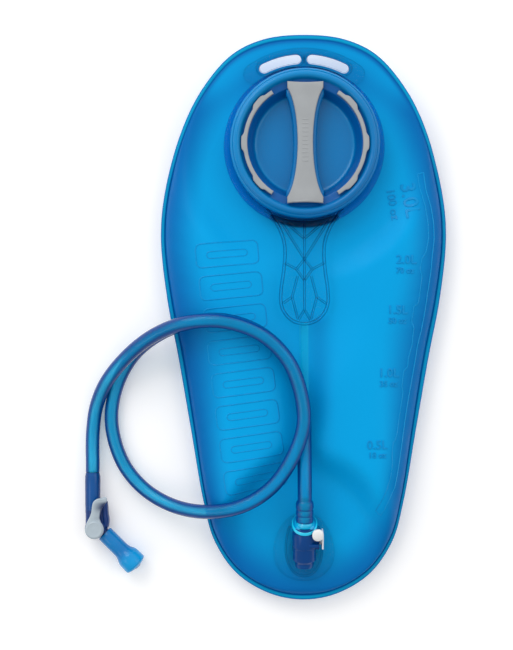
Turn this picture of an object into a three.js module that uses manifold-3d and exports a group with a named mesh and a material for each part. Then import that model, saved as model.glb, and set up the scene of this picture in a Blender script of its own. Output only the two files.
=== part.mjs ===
// A 3-litre hydration bladder lying on its back, with its cap closed and its drinking hose laid over it.
// Millimetres. +X is to the right, +Y runs towards the hang slots and +Z comes out of the cap side.
// The origin is on the surface that the bladder lies on, below the middle of its outline.

import * as THREE from "three";
import { mergeVertices } from "three/addons/utils/BufferGeometryUtils.js";
import Module from "manifold-3d";

const wasm = await Module();
wasm.setup();

// ---- Driving dimensions ----

const GAP = 0.3; // between pieces that touch
const TAU = 2 * Math.PI;
const RAD = Math.PI / 180;

// Right half of the bladder's outline, from the top centre to the bottom centre.
const HALF_OUTLINE = [
  [30, 207.2],
  [54, 195.5],
  [77, 168],
  [93.8, 132.5],
  [104, 95],
  [107, 62],
  [102.4, 16],
  [93.8, -29],
  [84.4, -83],
  [75, -137],
  [67, -166],
  [50, -190.8],
  [25, -206],
];
const OUTLINE_TOP = 210.5;
const OUTLINE_BOTTOM = -210.5;

const FILM = 1.2; // thickness of each film
const FILM_SEGMENTS = 40; // facets round the outline
const SEAM_WIDTH = 4; // flat rim where the two films are welded
const SEAM_Z = 13; // height of the weld plane along the sides
const CROWN_Z = 24.85; // height of the weld plane above the collar
const LOBE_Z = 34; // top of the two water lobes
const FURROW_DEPTH = 8; // how far the baffle holds the film down between the lobes
const FRONT_REACH = 50; // distance from the seam over which the front film rises
const BACK_REACH = 28; // distance from the seam over which the back film comes down to the floor

const FILL = { x: 0, y: 127.5 }; // axis of the fill collar and cap
const COLLAR_FILM_Z = 26; // film's top face under the collar
const COLLAR_R = 59.5;
const NECK_IN = 43.5;
const NECK_OUT = 47.6;
const NECK_TOP = 42;
const FLANGE_T = 2;
const THREAD_LEAD = 24; // rise of the cap for one turn
const THREAD_STARTS = 4;

const SLOT_IN = 62; // radii of the two hang slots, about the fill axis
const SLOT_OUT = 68.4;
const SLOT_FROM = 5 * RAD; // from the centre line
const SLOT_TO = 27 * RAD;
const TAB_R = 73;
const TAB_HALF = 35 * RAD;

const PADDLE_Z = 32.5; // underside of the handle
const PADDLE_WEB = 1.4;
const PADDLE_T = 3;

const CAP_R = 54.5;
const CAP_BOTTOM = 29;
const CAP_UNDERSIDE = 44.2;
const CAP_LEDGE_Z = 46.4;
const CAP_TOP = 50.4;
const WELL_R = 36;
const WELL_FLOOR = 36;
const BAR_HALF_LENGTH = 44;
const BAR_TOP = 51.5;

const PORT_FILM_Z = 20; // film's top face under the port
const PORT_FLANGE_Y = -169.5;
const PORT = { y: -152, z: 36 }; // middle of the socket's mouth
const PORT_TILT = 10 * RAD; // the socket's axis rises towards the hose
const MOUTH_LEAN = 0.5; // lean of the socket's mouth, along its axis for each mm of height
const SOCKET_R = 9.1;
const SOCKET_DEPTH = 11;
const BUTTON_Y = -12.5; // release button's stem, along the socket's axis

const HOSE_R = 5.3;
const STEM_LENGTH = 18; // barbed stem of the hose connector
const VALVE = { x: -156.5, y: -157.5, z: 9.3 }; // middle of the shut-off valve
const VALVE_INLET_Y = -115.5;
const BITE_ANGLE = -45 * RAD;
const BITE_START = { x: -147.2, y: -164.3 };
const ORING_GROOVES = [4, 12.8]; // undersides of the two grooves round the valve's plug

// Centre line of the hose, from the port to the shut-off valve.
const HOSE_ROUTE = [
  [0, -133.4, 39.3],
  [0, -122, 39.9],
  [0, -106, 36.8],
  [0, -89, 32.8],
  [-0.4, -71, 32.1],
  [-4, -50, 33.8],
  [-14.6, -27, 36],
  [-34, -9.6, 38],
  [-60, -1, 38.2],
  [-86, -3.2, 32.8],
  [-108, -11.5, 19.5],
  [-127.5, -26.5, 9],
  [-139.8, -47, 5.7],
  [-145, -70, 5.7],
  [-143, -91, 5.7],
  [-134.5, -112, 6.2],
  [-119.5, -128.5, 9.5],
  [-97.5, -139.5, 18.5],
  [-72.4, -142.3, 30.2],
  [-46, -137, 38.3],
  [-24, -122.6, 41.4],
  [-8.8, -100.5, 43],
  [-1, -77.3, 43],
  [-2.6, -56, 44.4],
  [-12, -31, 46.6],
  [-31, -12, 49],
  [-58, -2.2, 49],
  [-85.4, -2.8, 45.4],
  [-110.5, -12, 33.5],
  [-131.5, -27.8, 22.5],
  [-148, -47.5, 14],
  [-156.4, -66.5, 7.4],
  [-159, -84, 5.7],
  [-159.2, -97, 7.4],
  [-158.8, -107, 9.3],
  [-158.8, -115.1, 9.3],
];

// ---- Colours ----

const FINISH = {
  film: [0x0a96dc, 0.25],
  clear: [0x35a9e0, 0.15],
  cap: [0x0a66b4, 0.3],
  grip: [0xa9abae, 0.6],
  seal: [0xd8dde0, 0.6],
  navy: [0x0b3c8c, 0.35],
  bright: [0x22bdf0, 0.3],
  white: [0xe6e8ea, 0.4],
  hose: [0x0c86cc, 0.2],
  lever: [0xb0b9bf, 0.4],
  bite: [0x0c80cc, 0.4],
  steel: [0xc4c8cc, 0.3],
};

// ---- Geometry tools ----

const smooth = THREE.MathUtils.smoothstep;
const lerp = THREE.MathUtils.lerp;

// A closed geometry as a manifold-3d solid, with its shared corners merged and its collapsed faces dropped.
function solidOf(geometry) {
  const bare = geometry.clone();
  bare.deleteAttribute("normal");
  bare.deleteAttribute("uv");
  const merged = mergeVertices(bare, 1e-4);
  const index = merged.index.array;
  const kept = [];
  for (let i = 0; i < index.length; i += 3) {
    const [a, b, c] = [index[i], index[i + 1], index[i + 2]];
    if (a !== b && b !== c && c !== a) kept.push(a, b, c);
  }
  const vertProperties = new Float32Array(merged.attributes.position.array);
  return new wasm.Manifold(
    new wasm.Mesh({ numProp: 3, vertProperties, triVerts: new Uint32Array(kept) }),
  );
}

function geometryOf(solid) {
  const mesh = solid.getMesh();
  return new THREE.BufferGeometry()
    .setAttribute("position", new THREE.BufferAttribute(mesh.vertProperties, 3))
    .setIndex(new THREE.BufferAttribute(mesh.triVerts, 1));
}

function join(...geometries) {
  return geometryOf(geometries.map(solidOf).reduce((all, next) => all.add(next)));
}

function cut(geometry, ...tools) {
  return geometryOf(tools.map(solidOf).reduce((rest, tool) => rest.subtract(tool), solidOf(geometry)));
}

// Moves every corner of a geometry by a function of its place.
function reshape(geometry, move) {
  const places = geometry.attributes.position;
  const point = new THREE.Vector3();
  for (let i = 0; i < places.count; i++) {
    move(point.fromBufferAttribute(places, i));
    places.setXYZ(i, point.x, point.y, point.z);
  }
  return geometry;
}

// A solid turned about Z. Its profile is a list of [radius, height], either closed or from axis to axis.
function turned(profile, segments, closed = true) {
  const points = profile.map(([r, z]) => new THREE.Vector2(r, z));
  if (THREE.ShapeUtils.area(points) < 0) points.reverse();
  if (closed) points.push(points[0].clone());
  return new THREE.LatheGeometry(points, segments).rotateX(Math.PI / 2);
}

// The same, turned about Y.
function turnedY(profile, segments, closed = true) {
  return turned(profile, segments, closed).rotateX(-Math.PI / 2);
}

function plate(shape, bottom, top, curveSegments = 12) {
  const options = { depth: top - bottom, bevelEnabled: false, curveSegments };
  return new THREE.ExtrudeGeometry(shape, options).translate(0, 0, bottom);
}

function rod(radius, length, segments = 16) {
  return new THREE.CylinderGeometry(radius, radius, length, segments);
}

// A flat arc with round ends, between two radii and two angles about the fill axis.
function arcBand(inner, outer, from, to) {
  const middle = (inner + outer) / 2;
  const round = (outer - inner) / 2;
  const { x, y } = FILL;
  const shape = new THREE.Shape();
  const roundEnd = (angle, start) => {
    const [endX, endY] = [x + middle * Math.cos(angle), y + middle * Math.sin(angle)];
    shape.absarc(endX, endY, round, start, start + Math.PI, false);
  };
  shape.absarc(x, y, outer, from, to, false);
  roundEnd(to, to);
  shape.absarc(x, y, inner, to, from, true);
  roundEnd(from, from + Math.PI);
  return shape;
}

// A rib of rectangular section that climbs round the fill axis as a right-hand helix.
function helicalRib(inner, outer, bottom, height, from, sweep) {
  const section = new THREE.Shape([
    new THREE.Vector2(bottom, inner),
    new THREE.Vector2(bottom + height, inner),
    new THREE.Vector2(bottom + height, outer),
    new THREE.Vector2(bottom, outer),
  ]);
  const steps = Math.ceil(sweep / (13 * RAD));
  const rib = new THREE.ExtrudeGeometry(section, { depth: sweep, steps, bevelEnabled: false });
  return reshape(rib, (p) => {
    const angle = from + p.z;
    p.set(FILL.x + p.y * Math.cos(angle), FILL.y + p.y * Math.sin(angle), p.x + (THREAD_LEAD * p.z) / TAU);
  });
}

class Helix extends THREE.Curve {
  constructor(radius, length, turns) {
    super();
    Object.assign(this, { radius, length, turns });
  }
  getPoint(t, target = new THREE.Vector3()) {
    const angle = TAU * this.turns * t;
    return target.set(this.radius * Math.cos(angle), this.length * t, this.radius * Math.sin(angle));
  }
}

function coilSpring(radius, wire, length, turns) {
  const section = new THREE.Shape().absarc(0, 0, wire / 2, 0, TAU, false);
  const extrudePath = new Helix(radius, length, turns);
  const steps = turns * 8;
  return new THREE.ExtrudeGeometry(section, { steps, curveSegments: 3, extrudePath });
}

// ---- Bladder ----

// The outline, from the top centre down the left side and back up the right side.
function outlineCurve() {
  const top = new THREE.Vector3(0, OUTLINE_TOP, 0);
  const left = HALF_OUTLINE.map(([x, y]) => new THREE.Vector3(-x, y, 0));
  const bottom = new THREE.Vector3(0, OUTLINE_BOTTOM, 0);
  const right = HALF_OUTLINE.map(([x, y]) => new THREE.Vector3(x, y, 0)).reverse();
  return new THREE.CatmullRomCurve3([top, ...left, bottom, ...right], true, "centripetal");
}

// How far a film has risen from its seam at a distance from the outline, from 0 to 1.
function rise(edge, reach) {
  const t = THREE.MathUtils.clamp((edge - SEAM_WIDTH) / reach, 0, 1);
  return Math.sqrt(1 - (1 - t) ** 2);
}

const fromFill = (x, y) => Math.hypot(x - FILL.x, y - FILL.y);

// 1 in the welded crown above the collar, where the hang slots are, and 0 away from it.
function crownWeld(x, y) {
  return smooth(fromFill(x, y), 47, 61) * smooth(y, 150, 178);
}

function seamHeight(y) {
  return lerp(SEAM_Z, CROWN_Z, smooth(y, 95, 185));
}

// 1 under the oval flange of the port and 0 away from it.
function portFlat(x, y) {
  return 1 - smooth(Math.hypot(x / 24.5, (y - PORT_FLANGE_Y) / 27.5), 1.9, 2.8);
}

function frontTop(x, y, edge) {
  const seam = seamHeight(y) + GAP / 2 + FILM;
  const furrowWidth = lerp(15, 34, smooth(y, -60, 10));
  const lobe = LOBE_Z - FURROW_DEPTH * Math.exp(-((x / furrowWidth) ** 2));
  let z = lerp(seam, lobe, rise(edge, FRONT_REACH));
  z = lerp(z, COLLAR_FILM_Z, 1 - smooth(fromFill(x, y), 80, 102));
  z = lerp(z, Math.min(z, PORT_FILM_Z - GAP), portFlat(x, y));
  return lerp(z, CROWN_Z + GAP / 2 + FILM, crownWeld(x, y));
}

function backBottom(x, y, edge) {
  const seam = seamHeight(y) - GAP / 2 - FILM;
  const z = lerp(seam, 0, rise(edge, BACK_REACH));
  return lerp(z, CROWN_Z - GAP / 2 - FILM, crownWeld(x, y));
}

// A film as a closed shell: rings of the outline, shrunk towards the middle, on both of its faces.
function filmShell(bottomHeight) {
  const rings = [0.25, 0.5, 0.7, 0.8, 0.875, 0.925, 0.965, 1];
  const lower = rings.map((ring) => [ring, 0]);
  const upper = rings.map((ring) => [ring, 1]).reverse();
  const disc = turned([[0, 0], ...lower, ...upper, [0, 1]], FILM_SEGMENTS, false);
  const outline = outlineCurve();
  return reshape(disc, (p) => {
    const ring = Math.hypot(p.x, p.y);
    const turn = (Math.atan2(p.y, p.x) / TAU + 0.75) % 1;
    const rim = outline.getPointAt(turn);
    const level = p.z;
    const [x, y] = [rim.x * ring, rim.y * ring];
    p.set(x, y, bottomHeight(x, y, (1 - ring) * rim.length()) + level * FILM);
  });
}

function slotCutters(bottom, top, margin) {
  return [-1, 1].map((side) => {
    const [a, b] = [90 * RAD + side * SLOT_FROM, 90 * RAD + side * SLOT_TO];
    const band = arcBand(SLOT_IN - margin, SLOT_OUT + margin, Math.min(a, b), Math.max(a, b));
    return plate(band, bottom, top, 3);
  });
}

function frontFilm() {
  const shell = filmShell((x, y, edge) => frontTop(x, y, edge) - FILM);
  const fillHole = rod(NECK_OUT + 1.2, 60, 40).rotateX(Math.PI / 2).translate(FILL.x, FILL.y, 30);
  const portHole = rod(8.6, 60, 20).rotateX(Math.PI / 2).translate(0, PORT_FLANGE_Y - 1, 30);
  return cut(shell, fillHole, portHole, ...slotCutters(10, 40, 0.6));
}

function backFilm() {
  return cut(filmShell(backBottom), ...slotCutters(10, 40, 0.6));
}

// The strip that ties the two films together below the handle.
function centerBaffle() {
  const [bottom, top] = [FILM + GAP, LOBE_Z - FURROW_DEPTH - FILM - 2];
  const profile = new THREE.Shape([
    new THREE.Vector2(-80, bottom),
    new THREE.Vector2(-14, bottom),
    new THREE.Vector2(-14, top),
    new THREE.Vector2(-80, top),
  ]);
  const vent = (y) => new THREE.Path().absarc(y, 12.5, 5, 0, TAU, true);
  profile.holes.push(vent(-71), vent(-49), vent(-27));
  return plate(profile, -0.6, 0.6, 4).rotateX(Math.PI / 2).rotateZ(Math.PI / 2);
}

// ---- Fill collar with its hang tab and handle ----

function collarRing() {
  const bottom = COLLAR_FILM_Z + GAP;
  const ring = turned(
    [
      [NECK_IN, bottom - 2.8],
      [NECK_OUT, bottom - 2.8],
      [NECK_OUT, bottom],
      [COLLAR_R, bottom],
      [COLLAR_R, bottom + FLANGE_T],
      [NECK_OUT, bottom + FLANGE_T],
      [NECK_OUT, NECK_TOP],
      [NECK_IN, NECK_TOP],
    ],
    40,
  ).translate(FILL.x, FILL.y, 0);
  const threads = [];
  for (let start = 0; start < THREAD_STARTS; start++) {
    const from = (start * TAU) / THREAD_STARTS;
    threads.push(helicalRib(NECK_OUT - 0.4, NECK_OUT + 2, 31.2, 2, from, 80 * RAD));
  }
  return join(ring, ...threads);
}

function hangTab() {
  const bottom = COLLAR_FILM_Z + GAP;
  const band = arcBand(COLLAR_R - 2, TAB_R, 90 * RAD - TAB_HALF, 90 * RAD + TAB_HALF);
  return cut(plate(band, bottom, bottom + 1.6, 5), ...slotCutters(bottom - 5, bottom + 5, 0));
}

function paddleOutline(inset) {
  const half = [
    [29, 81],
    [19.5, 66],
    [15.4, 50],
    [17, 34],
    [18.6, 18],
    [16.4, 5],
    [9, -2.8],
  ];
  const right = half.map(([x, y]) => new THREE.Vector2(x - inset, y + (y < 5 ? inset : 0)));
  const left = right.map((p) => new THREE.Vector2(-p.x, p.y)).reverse();
  const end = new THREE.Vector2(0, -4.7 + inset);
  const shape = new THREE.Shape();
  shape.moveTo(right[0].x, right[0].y);
  shape.splineThru([...right.slice(1), end, ...left]);
  shape.closePath();
  return shape;
}

// A straight rib of the handle between two points.
function paddleRib([x1, y1], [x2, y2], width = 1.5) {
  const length = Math.hypot(x2 - x1, y2 - y1) + width;
  const bar = new THREE.BoxGeometry(length, width, PADDLE_T - 0.3);
  bar.rotateZ(Math.atan2(y2 - y1, x2 - x1));
  return bar.translate((x1 + x2) / 2, (y1 + y2) / 2, PADDLE_Z + (PADDLE_T - 0.3) / 2);
}

function paddle() {
  const web = plate(paddleOutline(0), PADDLE_Z, PADDLE_Z + PADDLE_WEB, 2);
  const rim = cut(
    plate(paddleOutline(0), PADDLE_Z, PADDLE_Z + PADDLE_T, 2),
    plate(paddleOutline(2.2), PADDLE_Z - 1, PADDLE_Z + PADDLE_T + 1, 2),
  );
  const top = [0, 60];
  const middle = [0, 45];
  const hexTop = [5.6, 37.5];
  const hexBottom = [0, 28.8];
  const ribs = [paddleRib([0, 68], middle)];
  for (const side of [-1, 1]) {
    const at = ([x, y]) => [side * x, y];
    ribs.push(
      paddleRib(top, at([13.5, 70])),
      paddleRib(middle, at([17.5, 71])),
      paddleRib(middle, at(hexTop)),
      paddleRib(at(hexTop), hexBottom),
      paddleRib(at(hexTop), at([15, 42])),
      paddleRib(at([4, 33]), at([10, 16])),
      paddleRib(at([10, 16]), at([5, 0])),
      paddleRib(at([10, 16]), at([16.5, 11])),
    );
  }
  return join(web, rim, ...ribs);
}

// Post under the handle's root, which carries it on the collar's flange.
function paddleRoot() {
  const shape = new THREE.Shape();
  shape.absarc(FILL.x, FILL.y, COLLAR_R + 2.5, -116 * RAD, -64 * RAD, false);
  shape.absarc(FILL.x, FILL.y, CAP_R + 1.2, -64 * RAD, -116 * RAD, true);
  return plate(shape, COLLAR_FILM_Z + GAP, PADDLE_Z + PADDLE_T, 4);
}

function fillCollar() {
  const capRoom = rod(CAP_R + 1.2, 30, 40).rotateX(Math.PI / 2);
  capRoom.translate(FILL.x, FILL.y, 15 + CAP_BOTTOM - 0.6);
  return join(collarRing(), hangTab(), cut(paddle(), capRoom), paddleRoot());
}

// ---- Cap ----

// The cap's bar, narrow in the middle and wide at both ends.
function barOutline(halfLength, waist, end) {
  const shape = new THREE.Shape();
  const { x, y } = FILL;
  const [corner, shoulder, belly] = [halfLength - 1, halfLength - 4.5, halfLength * 0.55];
  shape.moveTo(x + end, y + corner);
  shape.quadraticCurveTo(x, y + halfLength + 0.6, x - end, y + corner);
  shape.lineTo(x - end, y + shoulder);
  shape.bezierCurveTo(x - waist, y + belly, x - waist, y - belly, x - end, y - shoulder);
  shape.lineTo(x - end, y - corner);
  shape.quadraticCurveTo(x, y - halfLength - 0.6, x + end, y - corner);
  shape.lineTo(x + end, y - shoulder);
  shape.bezierCurveTo(x + waist, y - belly, x + waist, y + belly, x + end, y + shoulder);
  return shape;
}

function capLid() {
  const rimR = 4.2;
  const rimCentre = CAP_R - rimR;
  const rim = [0, 40, 90, 140, 180].map((angle) => [
    rimCentre + rimR * Math.cos(angle * RAD),
    CAP_TOP - rimR + rimR * Math.sin(angle * RAD),
  ]);
  const body = turned(
    [
      [0, WELL_FLOOR - 3],
      [39, WELL_FLOOR - 3],
      [40.5, WELL_FLOOR - 1.5],
      [40.5, CAP_UNDERSIDE],
      [51.2, CAP_UNDERSIDE],
      [51.2, CAP_BOTTOM],
      [CAP_R, CAP_BOTTOM],
      ...rim,
      [rimCentre - rimR, CAP_LEDGE_Z],
      [WELL_R + 1.2, CAP_LEDGE_Z],
      [WELL_R, CAP_LEDGE_Z - 1.2],
      [WELL_R - 1, WELL_FLOOR + 1],
      [WELL_R - 2, WELL_FLOOR],
      [0, WELL_FLOOR],
    ],
    40,
    false,
  ).translate(FILL.x, FILL.y, 0);
  const spine = plate(barOutline(WELL_R + 2, 1.8, 10), WELL_FLOOR - 1, CAP_LEDGE_Z + 0.6, 5);
  const seat = plate(barOutline(BAR_HALF_LENGTH - 1, 1.8, 11.6), CAP_LEDGE_Z - 1, CAP_LEDGE_Z + 0.6, 5);
  const lugs = [];
  for (let start = 0; start < THREAD_STARTS; start++) {
    const from = (start * TAU) / THREAD_STARTS + 8 * RAD;
    lugs.push(helicalRib(48.6, 51.6, 29.4, 1.6, from, 40 * RAD));
  }
  return join(body, spine, seat, ...lugs);
}

function capGripBar() {
  return plate(barOutline(BAR_HALF_LENGTH, 3, 13), CAP_LEDGE_Z + 0.6 + GAP, BAR_TOP, 6);
}

// One of the two curved grips beside the wells, with three finger bumps.
function capGrip(middle) {
  const [bottom, top] = [CAP_LEDGE_Z + GAP, CAP_LEDGE_Z + 3.2];
  const half = 57 * RAD;
  const band = plate(arcBand(41.8, 45, middle - half, middle + half), bottom, top, 5);
  const bumps = [-41, 0, 41].map((angle) => {
    const at = middle + angle * RAD;
    return plate(arcBand(43, 45.8, at - 6 * RAD, at + 6 * RAD), bottom, top, 2);
  });
  return join(band, ...bumps);
}

function capGasket() {
  const [inner, outer] = [NECK_IN + GAP, NECK_OUT - GAP];
  const [bottom, top] = [NECK_TOP + GAP, CAP_UNDERSIDE - GAP];
  const ring = turned([[inner, bottom], [outer, bottom], [outer, top], [inner, top]], 40);
  return ring.translate(FILL.x, FILL.y, 0);
}

// ---- Exit port, in a frame with Y along the hose and its origin in the socket's mouth ----

function inPort(geometry) {
  return geometry.rotateX(PORT_TILT).translate(0, PORT.y, PORT.z);
}

// Leans the faces at or beyond the socket's mouth, so that the mouth looks up.
function leanMouth(geometry) {
  return reshape(geometry, (p) => {
    if (p.y > -0.01) p.y -= MOUTH_LEAN * p.z;
  });
}

function eggShape(halfWidth, bottom, top) {
  const middle = lerp(bottom, top, 0.42);
  const shape = new THREE.Shape();
  shape.moveTo(0, bottom);
  shape.bezierCurveTo(halfWidth * 0.62, bottom, halfWidth, lerp(bottom, middle, 0.45), halfWidth, middle);
  shape.bezierCurveTo(halfWidth, lerp(middle, top, 0.5), halfWidth * 0.55, top, 0, top);
  shape.bezierCurveTo(-halfWidth * 0.55, top, -halfWidth, lerp(middle, top, 0.5), -halfWidth, middle);
  shape.bezierCurveTo(-halfWidth, lerp(bottom, middle, 0.45), -halfWidth * 0.62, bottom, 0, bottom);
  return shape;
}

function portFlange() {
  const bottom = PORT_FILM_Z + GAP;
  const oval = plate(eggShape(22.8, -195, -143.8), bottom, bottom + FLANGE_T, 7);
  const cradle = cut(
    plate(eggShape(14.4, -192, -146), bottom, bottom + 4.6, 7),
    plate(eggShape(12.6, -190.2, -140), bottom - 1, bottom + 9, 7),
    new THREE.BoxGeometry(40, 20, 20).translate(0, -145, bottom + 8),
  );
  const spigot = rod(7.6, 6, 16).rotateX(Math.PI / 2).translate(0, PORT_FLANGE_Y - 1, bottom - 2);
  const passage = rod(2.6, 30, 12).rotateX(Math.PI / 2).translate(0, PORT_FLANGE_Y - 1, bottom);
  return cut(join(oval, cradle, spigot), passage);
}

function portBody() {
  const socket = leanMouth(
    turnedY(
      [
        [6.9, 0],
        [SOCKET_R, 0],
        [SOCKET_R, -25.5],
        [7, -27],
        [6.4, -31],
        [0, -31],
        [0, -29.6],
        [5, -29.6],
        [5, -SOCKET_DEPTH - 2],
        [2.6, -SOCKET_DEPTH - 2],
        [2.6, -SOCKET_DEPTH],
        [6.9, -SOCKET_DEPTH],
      ],
      24,
    ),
  );
  const housing = new THREE.BoxGeometry(3.4, 8, 9).translate(9.1, BUTTON_Y, 0);
  const buttonBore = rod(2.1, 8, 12).rotateZ(Math.PI / 2).translate(12.2, BUTTON_Y, 0);
  const footBottom = PORT_FILM_Z + 2 * GAP + FLANGE_T;
  const foot = new THREE.BoxGeometry(9, 15, 8).translate(0, PORT_FLANGE_Y - 1, footBottom + 4);
  const chamber = inPort(rod(7.6, 36, 20).translate(0, -15, 0));
  const inlet = rod(2.4, 18, 12).rotateX(Math.PI / 2).translate(0, PORT_FLANGE_Y - 1, 24);
  return cut(join(inPort(cut(join(socket, housing), buttonBore)), cut(foot, chamber)), inlet);
}

function portPoppet() {
  const tip = -SOCKET_DEPTH - 0.4;
  const profile = [[0, -22], [4.4, -22], [4.4, -20.4], [1.6, -20.4], [1.6, tip], [0, tip]];
  return inPort(turnedY(profile, 16, false));
}

function poppetSeal() {
  return inPort(turnedY([[2, -20.1], [4.2, -20.1], [4.2, -19], [2, -19]], 16));
}

function poppetSpring() {
  return inPort(coilSpring(3.4, 0.7, 6, 3).translate(0, -28.7, 0));
}

function releaseButton() {
  const head = new THREE.SphereGeometry(1, 14, 8).scale(4.4, 4.7, 2.3).translate(9.4, -3.4, 9.6);
  const arm = new THREE.BoxGeometry(1.1, 15, 12.4).translate(13.05, -9, 3.4);
  const stem = rod(1.1, 2.3, 10).rotateZ(Math.PI / 2).translate(11.55, BUTTON_Y, 0);
  return inPort(join(head, arm, stem));
}

function buttonSpring() {
  return inPort(coilSpring(1.6, 0.5, 2.9, 3).rotateZ(-Math.PI / 2).translate(8.9, BUTTON_Y, 0));
}

function hoseConnector() {
  const plug = turnedY(
    [
      [1.2, -SOCKET_DEPTH + GAP],
      [5.6, -SOCKET_DEPTH + GAP],
      [6.3, -SOCKET_DEPTH + 1.2],
      [6.3, -8.6],
      [5.1, -8.6],
      [5.1, -6.6],
      [6.3, -6.6],
      [6.3, 3],
      [4, 6],
      [4, 8],
      [4.9, 8],
      [4, 12],
      [4.9, 12],
      [4, 16],
      [4.9, 16],
      [4, STEM_LENGTH],
      [2.6, STEM_LENGTH],
      [2.6, -7],
      [1.2, -7],
    ],
    16,
  );
  const collar = turnedY([[5.5, GAP], [9.3, GAP], [9.3, 2.6], [5.5, 3.6]], 20);
  return inPort(join(plug, leanMouth(collar)));
}

function connectorOring() {
  return inPort(turnedY([[5.4, -8.3], [6.6, -8.3], [6.6, -6.9], [5.4, -6.9]], 20));
}

// ---- Hose ----

function drinkHose() {
  const points = HOSE_ROUTE.map((p) => new THREE.Vector3(...p));
  const extrudePath = new THREE.CatmullRomCurve3(points, false, "centripetal");
  const section = new THREE.Shape().absarc(0, 0, HOSE_R, 0, TAU, false);
  return new THREE.ExtrudeGeometry(section, { steps: 78, curveSegments: 5, extrudePath });
}

// ---- Shut-off valve and bite valve ----

function alongBite(geometry) {
  return geometry.rotateZ(BITE_ANGLE - Math.PI / 2).translate(BITE_START.x, BITE_START.y, VALVE.z);
}

function valveBody() {
  const { x, y, z } = VALVE;
  const barrel = rod(7.6, 14, 20).rotateX(Math.PI / 2).translate(x, y, 8.2);
  const inletX = x - 2.3;
  const inletLength = VALVE_INLET_Y - y;
  const inlet = turnedY(
    [
      [0, 0],
      [5.2, 0],
      [5.2, 20],
      [4, 22],
      [4, 26],
      [4.9, 26],
      [4, 31],
      [4.9, 31],
      [4, 36],
      [4.9, 36],
      [4, inletLength],
      [0, inletLength],
    ],
    14,
    false,
  ).translate(inletX, y, z);
  const guard = new THREE.CapsuleGeometry(3, 13, 3, 10).scale(1, 1, 1.6).rotateZ(-0.12);
  guard.translate(x + 7.6, y + 10, z);
  const outlet = alongBite(rod(4, 24, 14));
  const plugBore = rod(4.7, 20, 20).rotateX(Math.PI / 2).translate(x, y, 12.7);
  const bore = rod(2.4, inletLength + 10, 10).translate(inletX, y + (inletLength + 10) / 2, z);
  const outletBore = alongBite(rod(2.2, 30, 10));
  return cut(join(barrel, inlet, guard, outlet), plugBore, bore, outletBore);
}

function valvePlug() {
  const { x, y, z } = VALVE;
  const groove = (bottom) => [[4.3, bottom], [3.4, bottom], [3.4, bottom + 1.4], [4.3, bottom + 1.4]];
  const body = turned(
    [[0, 3.1], [4.3, 3.1], ...ORING_GROOVES.flatMap(groove), [4.3, 16.2], [0, 16.2]],
    20,
    false,
  ).translate(x, y, 0);
  const inlet = rod(2, 12, 10).translate(x - 2.3, y + 5, z);
  const outlet = alongBite(rod(2, 40, 10));
  return cut(body, inlet, outlet);
}

function plugOring(groove) {
  const [low, high] = [groove + 0.25, groove + 1.15];
  return turned([[3.6, low], [4.55, low], [4.55, high], [3.6, high]], 18).translate(VALVE.x, VALVE.y, 0);
}

function valveLever() {
  const { x, y } = VALVE;
  const shape = new THREE.Shape();
  shape.moveTo(x - 6.2, y + 3.4);
  shape.bezierCurveTo(x - 3, y + 8, x - 2.5, y + 14, x - 0.5, y + 19);
  shape.bezierCurveTo(x + 1, y + 22.5, x + 5, y + 22, x + 7.8, y + 24);
  shape.bezierCurveTo(x + 10, y + 23.5, x + 9.6, y + 20.5, x + 8.2, y + 18);
  shape.bezierCurveTo(x + 5.4, y + 14, x + 5.2, y + 9, x + 6.4, y + 3);
  shape.absarc(x, y, 7.05, 25 * RAD, -209 * RAD, true);
  const arm = plate(shape, 16.5, 19.6, 5);
  const boss = rod(5.8, 1.6, 20).rotateX(Math.PI / 2).translate(x, y, 19.8);
  return join(arm, boss);
}

function biteValve() {
  return alongBite(
    turnedY(
      [
        [4.5, 1],
        [6, 1],
        [6, 14],
        [6.6, 17],
        [8.6, 20.5],
        [9, 23],
        [9, 30],
        [7.6, 31],
        [0, 31.8],
        [0, 29.6],
        [6.4, 29.2],
        [6.4, 23],
        [4.5, 18],
      ],
      20,
    ),
  );
}

// ---- Assembly ----

const group = new THREE.Group();
group.name = "hydration_bladder";

function add(name, finish, geometry) {
  const [color, roughness] = FINISH[finish];
  const metalness = finish === "steel" ? 1 : 0;
  const mesh = new THREE.Mesh(geometry, new THREE.MeshStandardMaterial({ color, roughness, metalness }));
  mesh.name = name;
  group.add(mesh);
}

add("front_film", "film", frontFilm());
add("back_film", "film", backFilm());
add("center_baffle", "film", centerBaffle());
add("fill_collar", "clear", fillCollar());
add("cap_lid", "cap", capLid());
add("cap_gasket", "seal", capGasket());
add("cap_grip_bar", "grip", capGripBar());
add("cap_grip_right", "grip", capGrip(0));
add("cap_grip_left", "grip", capGrip(Math.PI));
add("port_flange", "clear", portFlange());
add("port_body", "navy", portBody());
add("port_poppet", "white", portPoppet());
add("poppet_seal", "seal", poppetSeal());
add("poppet_spring", "steel", poppetSpring());
add("release_button", "white", releaseButton());
add("button_spring", "steel", buttonSpring());
add("hose_connector", "bright", hoseConnector());
add("connector_oring", "seal", connectorOring());
add("drink_hose", "hose", drinkHose());
add("valve_body", "navy", valveBody());
add("valve_plug", "white", valvePlug());
add("plug_oring_lower", "seal", plugOring(ORING_GROOVES[0]));
add("plug_oring_upper", "seal", plugOring(ORING_GROOVES[1]));
add("valve_lever", "lever", valveLever());
add("bite_valve", "bite", biteValve());

export default group;
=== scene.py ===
"""A 3-litre hydration bladder lying on a pale floor, seen from straight above.
"""

import math

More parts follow.
